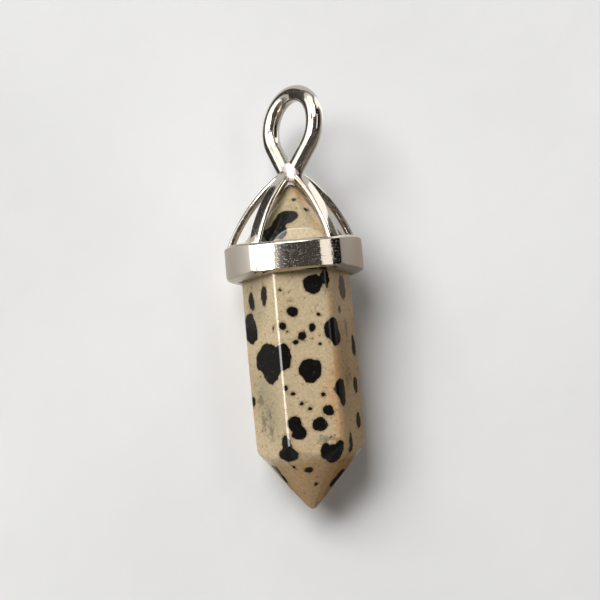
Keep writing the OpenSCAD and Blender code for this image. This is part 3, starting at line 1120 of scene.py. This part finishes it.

# Painted shade in reflections: dim glowing cards that lie beside the stone and the band, so that the side
# faces mirror a gray table in shade: name, edges across and along, in millimetres, tint and brightness.
SHADE_CARDS = [
    ("shade_left_stone", (-140, -9), (-140, -1), "#FFF8F0", 0.25),
    ("shade_left_band", (-70, -9), (-1, 9), "#FFF8F4", 0.48),
    ("shade_left_tip", (-9, -3), (-140, -17.5), "#FFF8F0", 0.06),
    ("shade_right_stone", (8, 140), (-140, -1), "#FFF0E0", 0.17),
    ("shade_right_tip", (3, 8), (-140, -16), "#FFF0E0", 0.04),
    ("shade_right_band", (9, 70), (-1, 8), "#FFECDC", 0.45),
]
CARD_LIFT = 0.3

# The room's light, by the direction of the view: axis, where the light starts and stops changing, and its
# brightness at both places. The walls are gray, and the end of the room beyond the stone's tip is lighter.
ROOM_LIGHT = [
    ("Z", 0.1, 0.5, 0.2, 0.01),
    ("Z", 0.8, 0.93, 0.0, 0.08),
    ("Y", -0.15, -0.5, 0.0, 0.1),
]

TABLE_RADIUS = 1.5


def troweled_plaster(settings):
    """Fine white plaster, troweled smooth. The eye gets a dull, nearly white ground with faint clouds and
    sparse pits."""
    material, tree = new_material("troweled_white_plaster")
    place = add_node(tree, "TexCoord", "Object")
    # The clouds are 45 mm, the unevenness left by the trowel 2.5 mm.
    clouds, fine = (
        add_node(tree, "TexNoise", "Fac", None, dict(zip(NOISE_INPUTS, (place, 1 / (size * MM), detail))))
        for size, detail in ((45, 4.0), (2.5, 5.0))
    )
    inputs = dict(zip(RANGE_INPUTS, (clouds, 0.35, 0.7)))
    cloud = add_node(tree, "MapRange", "Result", {"interpolation_type": "SMOOTHSTEP"}, inputs)
    inputs = {0: cloud, 6: settings.table, 7: hex_colour("#E6E6E6")}
    tint = add_node(tree, "Mix", 2, {"data_type": "RGBA"}, inputs)
    bump = add_node(tree, "Bump", "Normal", None, {"Height": fine, "Distance": 0.12 * MM, "Strength": 0.5})
    inputs = {"Base Color": tint, "Roughness": 0.9, "Specular IOR Level": 0.0, "Normal": bump}
    end_tree(tree, "BsdfPrincipled", inputs)
    return material


def glowing_card(name, tint, brightness):
    """Card that glows evenly, standing in for paper lit from the front. The eye gets one even tone."""
    material, tree = new_material(name + "_glowing_paper")
    end_tree(tree, "Emission", {"Color": hex_colour(tint), "Strength": brightness})
    return material


def black_flock():
    """Card flocked black. The eye gets an even black that mirrors nothing."""
    material, tree = new_material("black_flock_card")
    end_tree(tree, "BsdfPrincipled", {"Base Color": hex_colour("#141312"), "Roughness": 0.95})
    return material


def add_light(name, side_angle, toward_loop, wide, long, brightness, tint, mirrored):
    """A soft box that faces the pendant. Its power is 4 * area * brightness."""
    lamp = bpy.data.lights.new(name, "AREA")
    lamp.shape, lamp.size, lamp.size_y = "RECTANGLE", long, wide
    lamp.energy = 4 * wide * long * brightness * bpy.context.scene.pendant_stage.light_level
    lamp.color = tint
    held = bpy.data.objects.new(name, lamp)
    bpy.context.scene.collection.objects.link(held)
    side, lean = math.radians(side_angle), math.radians(toward_loop)
    way = Vector((math.sin(side) * math.cos(lean), math.sin(lean), math.cos(side) * math.cos(lean)))
    along = (Vector((0, 1, 0)) - way.y * way).normalized()
    held.location = way * LIGHT_DISTANCE + Vector((0, 0, 6 * MM))
    held.rotation_mode = "QUATERNION"
    held.rotation_quaternion = Matrix((along, way.cross(along), way)).transposed().to_quaternion()
    held.visible_glossy = mirrored


def bowl(reach, turn, rise):
    """Points of a shallow bowl: r sin t, r cos t and rise * (r / the greatest r) ** 2."""
    return joined(reach * np.sin(turn), reach * np.cos(turn), rise * (reach / reach.max()) ** 2)


def sky_patch(sides, rises):
    """Points of a patch of a sphere, between two directions from the loop's end and two angles of rise."""
    azimuth = np.radians(np.linspace(*sides, CARD_STEPS))[:, None]
    rise = np.radians(np.linspace(*rises, CARD_STEPS))[None, :]
    flat = np.cos(rise)
    return joined(np.sin(azimuth) * flat, np.cos(azimuth) * flat, np.sin(rise)) * CARD_DISTANCE


def add_card(name, points, material):
    """A card that is seen in reflections alone, and shades and lights nothing."""
    card = new_object(name, points, grid_faces(*points.shape[:2], False, False), material)
    card.visible_camera = card.visible_diffuse = card.visible_shadow = False


class PENDANT_OT_add_stage(bpy.types.Operator):
    """Add the plaster table, the soft boxes and the camera"""

    bl_idname = "pendant.add_stage"
    bl_label = "Table, Lights and Camera"

    def execute(self, context):
        """The table, the lights, the cards, the room and the camera, one after the other."""
        settings = context.scene.pendant_stage
        self.add_table(settings)
        for row in SOFT_BOXES:
            add_light(*row)
        self.add_cards()
        self.add_room(context)
        context.scene.view_settings.view_transform = "Standard"
        self.add_camera(context, settings)
        return {"FINISHED"}

    def add_cards(self):
        """Cards for reflections alone. Two lie on the table as sectors of shallow bowls: a black one left of
        the loop, for the arms' dark stripes, and a white one right of it, for their white ones. The
        black one is wider near the loop. The others stand round the pendant or lie beside it."""
        reach = np.geomspace(5, 80, CARD_STEPS)[:, None]
        widened = np.clip((45 - reach) / 30, 0, 1) * np.linspace(14, 0, CARD_STEPS)
        turn = np.radians(np.linspace(-48, -14, CARD_STEPS) - widened)
        add_card("black_card", (bowl(reach, turn, 20) + [-3, 8, CARD_LIFT]) * MM, black_flock())
        reach = np.geomspace(12, 100, 12)[:, None]
        turn = np.radians(np.linspace(26, 47, CARD_STEPS))[None, :]
        white = glowing_card("white_card_right", CARD_TINT, 1.9)
        add_card("white_card_right", (bowl(reach, turn, 65) + [2, 7, CARD_LIFT]) * MM, white)
        haze = []
        for step, brightness in enumerate(HAZE_STEPS):
            low = HAZE_LOW + HAZE_RISE * step
            haze.append(("haze_card_%d" % step, HAZE_SIDES, (low, low + HAZE_RISE), brightness))
        for name, sides, rises, brightness in SKY_CARDS + haze:
            add_card(name, sky_patch(sides, rises), glowing_card(name, CARD_TINT, brightness))
        for name, sides, ends, tint, brightness in SHADE_CARDS:
            flat = joined(np.array(sides)[:, None], np.array(ends)[None, :], CARD_LIFT) * MM
            add_card(name, flat, glowing_card(name, tint, brightness))

    def add_room(self, context):
        """A room that is lit by ROOM_LIGHT: its parts, each eased between two heights or depths of the view,
        are added up."""
        world = bpy.data.worlds.new("studio")
        world.use_nodes = True
        tree = world.node_tree
        tree.nodes.clear()
        way = add_node(tree, "TexCoord", "Generated")
        light = 0.0
        for axis, *rest in ROOM_LIGHT:
            inputs = dict(zip(RANGE_INPUTS, (add_node(tree, "SeparateXYZ", axis, None, {0: way}), *rest)))
            part = add_node(tree, "MapRange", "Result", {"interpolation_type": "SMOOTHSTEP"}, inputs)
            light = add_node(tree, "Math", 0, {"operation": "ADD"}, {0: light, 1: part})
        end_tree(tree, "Background", {"Color": hex_colour("#FFFAF2"), "Strength": light}, "OutputWorld")
        context.scene.world = world

    def add_table(self, settings):
        """A disc of grid points, each ring's radius by the square of its share."""
        around = np.linspace(0, 2 * math.pi, 65)[None, :-1]
        out = np.linspace(1, 0, 24)[:-1, None] ** 2 * TABLE_RADIUS
        points = joined(out * np.cos(around), out * np.sin(around), 0)
        rows, columns = points.shape[:2]
        faces = grid_faces(rows, columns, False, True)
        faces += fan_faces(rows * columns, (rows - 1) * columns + np.arange(columns), True)
        points = np.concatenate([points.reshape(-1, 3), np.zeros((1, 3))])
        table = new_object("table", points, faces, troweled_plaster(settings))

    def add_camera(self, context, settings):
        """The camera looks down on the front, from its left and from the tip's side, rolled so that the
        pendant leans. One point on the stone's axis falls on a given pixel of the photo's frame."""
        lens, sensor, pixels = 130, 36, 600
        across, axis_rise, roll = math.radians(-6.6), math.radians(-6.5), math.radians(5.2)
        anchor_height, anchor_pixel = 12.29 * MM, (304.3, 372)
        axis = Vector((0, math.cos(LIE_ANGLE), math.sin(LIE_ANGLE)))
        front = Vector((0, -math.sin(LIE_ANGLE), math.cos(LIE_ANGLE)))
        level_way = math.sin(across) * Vector((1, 0, 0)) + math.cos(across) * front
        way = math.cos(axis_rise) * level_way + math.sin(axis_rise) * axis
        level = (axis - axis.dot(way) * way).normalized()
        up = level * math.cos(roll) + level.cross(way) * math.sin(roll)
        right = up.cross(way)
        distance = settings.camera_distance
        pixel_size = distance / (pixels * lens / sensor)
        off_right, off_down = ((pixel - pixels / 2) * pixel_size for pixel in anchor_pixel)
        camera = bpy.data.cameras.new("camera")
        camera.lens, camera.sensor_width = lens, sensor
        camera.clip_start, camera.clip_end = 0.01, 10
        held = bpy.data.objects.new("camera", camera)
        context.scene.collection.objects.link(held)
        held.rotation_mode = "QUATERNION"
        anchor = Vector(TIP_AT) + anchor_height * axis
        held.location = anchor + distance * way - off_right * right + off_down * up
        held.rotation_quaternion = Matrix((right, up, way)).transposed().to_quaternion()
        context.scene.camera = held


# Add-on


class PENDANT_PT_parts(bpy.types.Panel):
    """Buttons and sizes for the pendant"""

    bl_idname = "PENDANT_PT_parts"
    bl_label = "Crystal Point Pendant"
    bl_space_type = "VIEW_3D"
    bl_region_type = "UI"
    bl_category = "Pendant"

    def draw(self, context):
        """A button for each operator, then a box of properties for each group."""
        for operator in OPERATORS:
            self.layout.operator(operator.bl_idname)
        for settings in (context.scene.pendant_stone, context.scene.pendant_cap, context.scene.pendant_stage):
            box = self.layout.box()
            for name in settings.bl_rna.properties.keys():
                if name not in {"rna_type", "name"}:
                    box.prop(settings, name)


OPERATORS = (
    PENDANT_OT_add_stone,
    PENDANT_OT_add_band,
    PENDANT_OT_add_arms,
    PENDANT_OT_add_loop,
    PENDANT_OT_add_stage,
)
CLASSES = (PendantStoneSettings, PendantCapSettings, PendantStageSettings, *OPERATORS, PENDANT_PT_parts)


def register():
    """Adds the classes, and their settings to the scene."""
    for each in CLASSES:
        bpy.utils.register_class(each)
    bpy.types.Scene.pendant_stone = bpy.props.PointerProperty(type=PendantStoneSettings)
    bpy.types.Scene.pendant_cap = bpy.props.PointerProperty(type=PendantCapSettings)
    bpy.types.Scene.pendant_stage = bpy.props.PointerProperty(type=PendantStageSettings)


def unregister():
    """Takes the settings and the classes away again."""
    del bpy.types.Scene.pendant_stage
    del bpy.types.Scene.pendant_cap
    del bpy.types.Scene.pendant_stone
    for each in reversed(CLASSES):
        bpy.utils.unregister_class(each)


def main():
    register()
    bpy.ops.pendant.add_stone()
    bpy.ops.pendant.add_band()
    bpy.ops.pendant.add_arms()
    bpy.ops.pendant.add_loop()
    bpy.ops.pendant.add_stage()


if __name__ == "__main__":
    main()
